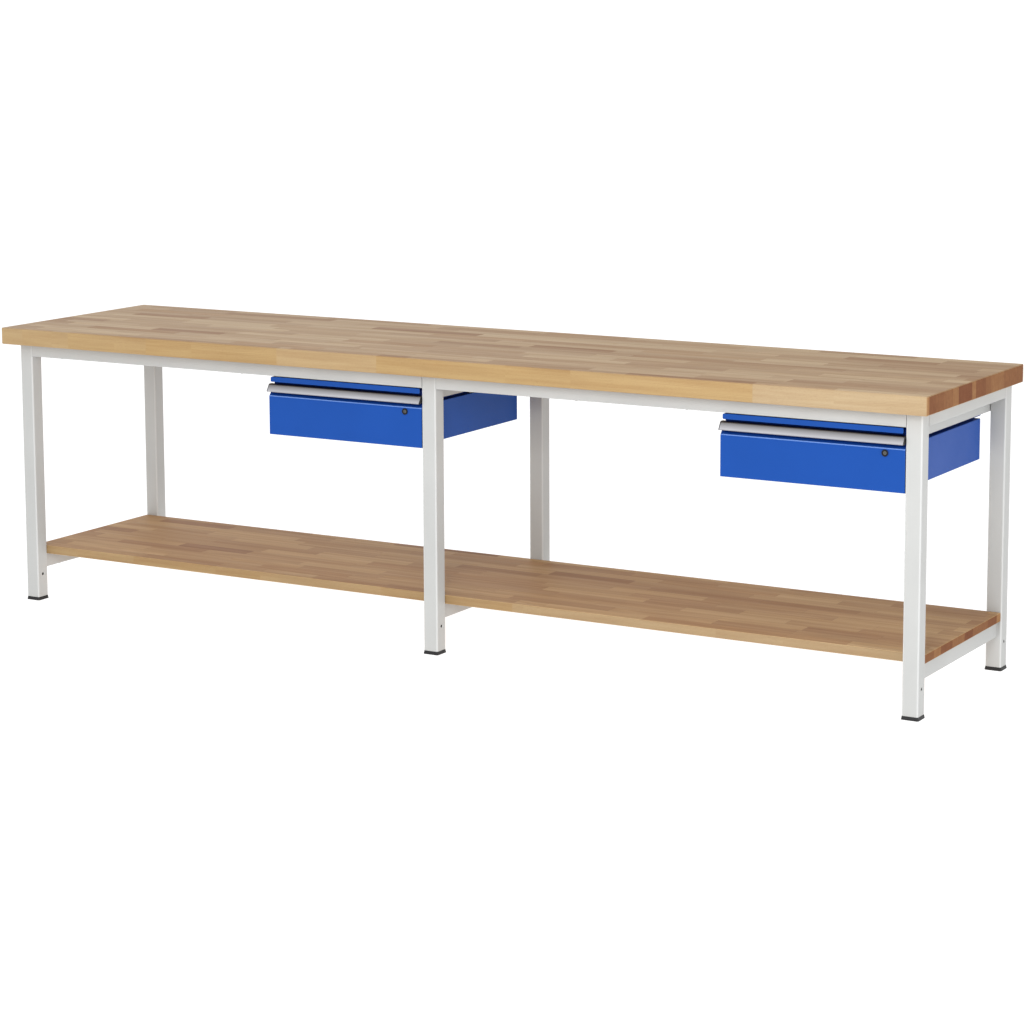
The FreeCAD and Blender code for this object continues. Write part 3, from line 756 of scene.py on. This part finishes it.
# Welds where the rails meet the legs, as one piece for each frame
for side in ("left", "middle", "right"):
    skin = bmesh.new()
    for row, rail in (("front", "front_rail"), ("back", "rear_rail")):
        leg_low, leg_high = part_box(f"leg_{row}_{side}")
        leg_y = leg_high.y if row == "front" else leg_low.y
        for height in ("top", "lower"):
            low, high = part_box(f"{height}_cross_rail_{side}")
            weld_bead(skin, (low.x + weld_inset, leg_y, low.z), (high.x - weld_inset, leg_y, low.z))
            for x in (low.x, high.x):
                if leg_low.x + weld_clearance < x < leg_high.x - weld_clearance:
                    weld_bead(skin, (x, leg_y, low.z + weld_inset), (x, leg_y, high.z - weld_inset))
        for bay in ("left", "right"):
            low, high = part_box(f"{rail}_{bay}")
            for end, face in ((low.x, leg_high.x), (high.x, leg_low.x)):
                if abs(end - face) < weld_clearance:
                    weld_bead(skin, (face, low.y + weld_inset, low.z), (face, high.y - weld_inset, low.z))
    dress(f"frame_welds_{side}", skin, "bench", finishes["grey_coat"], smooth=True)

# Floor: pale and faintly glowing, so that it shows as white
floor_half_width = 1000.0
floor_glow = 0.95
floor_level = 0.3
floor_patch_waves = 0.8
floor_patch_share = 0.98
floor_roughness = 0.9
floor_specular = 0.1

look = Look("studio_floor")
patches = look.spread_noise(look.noise(floor_patch_waves, detail=2.0))
pale = look.mix(patches, grey_of(floor_level), grey_of(floor_patch_share * floor_level))
floor_finish = look.finish(Base_Color=pale, Roughness=floor_roughness, Specular_IOR_Level=floor_specular,
                           Emission_Color=plain, Emission_Strength=floor_glow)
mesh = bpy.data.meshes.new("studio_floor")
half = floor_half_width
mesh.from_pydata([(-half, -half, 0), (half, -half, 0), (half, half, 0), (-half, half, 0)], [],
                 [(0, 1, 2, 3)])
mesh.materials.append(floor_finish)
floor = bpy.data.objects.new("studio_floor", mesh)
bpy.context.scene.collection.objects.link(floor)

# Light from all round
world_strength = 0.6
world = bpy.data.worlds.new("studio")
world.use_nodes = True
backdrop = world.node_tree.nodes["Background"]
backdrop.inputs["Color"].default_value = plain
backdrop.inputs["Strength"].default_value = world_strength
bpy.context.scene.world = world

# Lamps: power in watts, place, the point that it faces, width and height
studio_aim = (0.9, -0.3, 0.6)
overhead_aim = (-1.0, -0.3, 0.7)
lamps = {
    "key": (88.0, (2.1, -4.6, 2.3), studio_aim, 1.4, 1.4),
    "strip": (24.0, (4.3, -1.5, 1.3), studio_aim, 0.6, 2.0),
    "overhead": (45.0, (-1.0, -3.1, 3.4), overhead_aim, 6.4, 2.0),
    "back": (17.0, (-4.2, 4.6, 2.0), studio_aim, 3.6, 1.8),
}
for name, (power, place, aim, width, height) in lamps.items():
    light = bpy.data.lights.new(name, "AREA")
    light.shape = "RECTANGLE"
    light.size = width
    light.size_y = height
    light.energy = power
    lamp = bpy.data.objects.new(name, light)
    lamp.location = place
    lamp.rotation_euler = (Vector(aim) - Vector(place)).to_track_quat("-Z", "Y").to_euler()
    bpy.context.scene.collection.objects.link(lamp)

# Camera, at the photograph's viewing angle
picture_width = 1024
camera_place = (4.0306, -6.7397, 1.8625)
camera_yaw = math.radians(30.283)
camera_pitch = math.radians(-8.063)
camera_roll = math.radians(-0.238)
camera_focus_pixels = 2749
camera_shift = -0.13
sensor_width = 36.0
camera_reach = 4 * floor_half_width

view = bpy.data.cameras.new("camera")
view.sensor_width = sensor_width
view.lens = camera_focus_pixels / picture_width * sensor_width
view.shift_y = camera_shift
view.clip_end = camera_reach
camera = bpy.data.objects.new("camera", view)
camera.matrix_world = (Matrix.Translation(camera_place) @ Matrix.Rotation(camera_yaw, 4, "Z")
                       @ Matrix.Rotation(math.pi / 2 + camera_pitch, 4, "X")
                       @ Matrix.Rotation(camera_roll, 4, "Z"))
bpy.context.scene.collection.objects.link(camera)
bpy.context.scene.camera = camera
bpy.context.scene.view_settings.view_transform = "Standard"
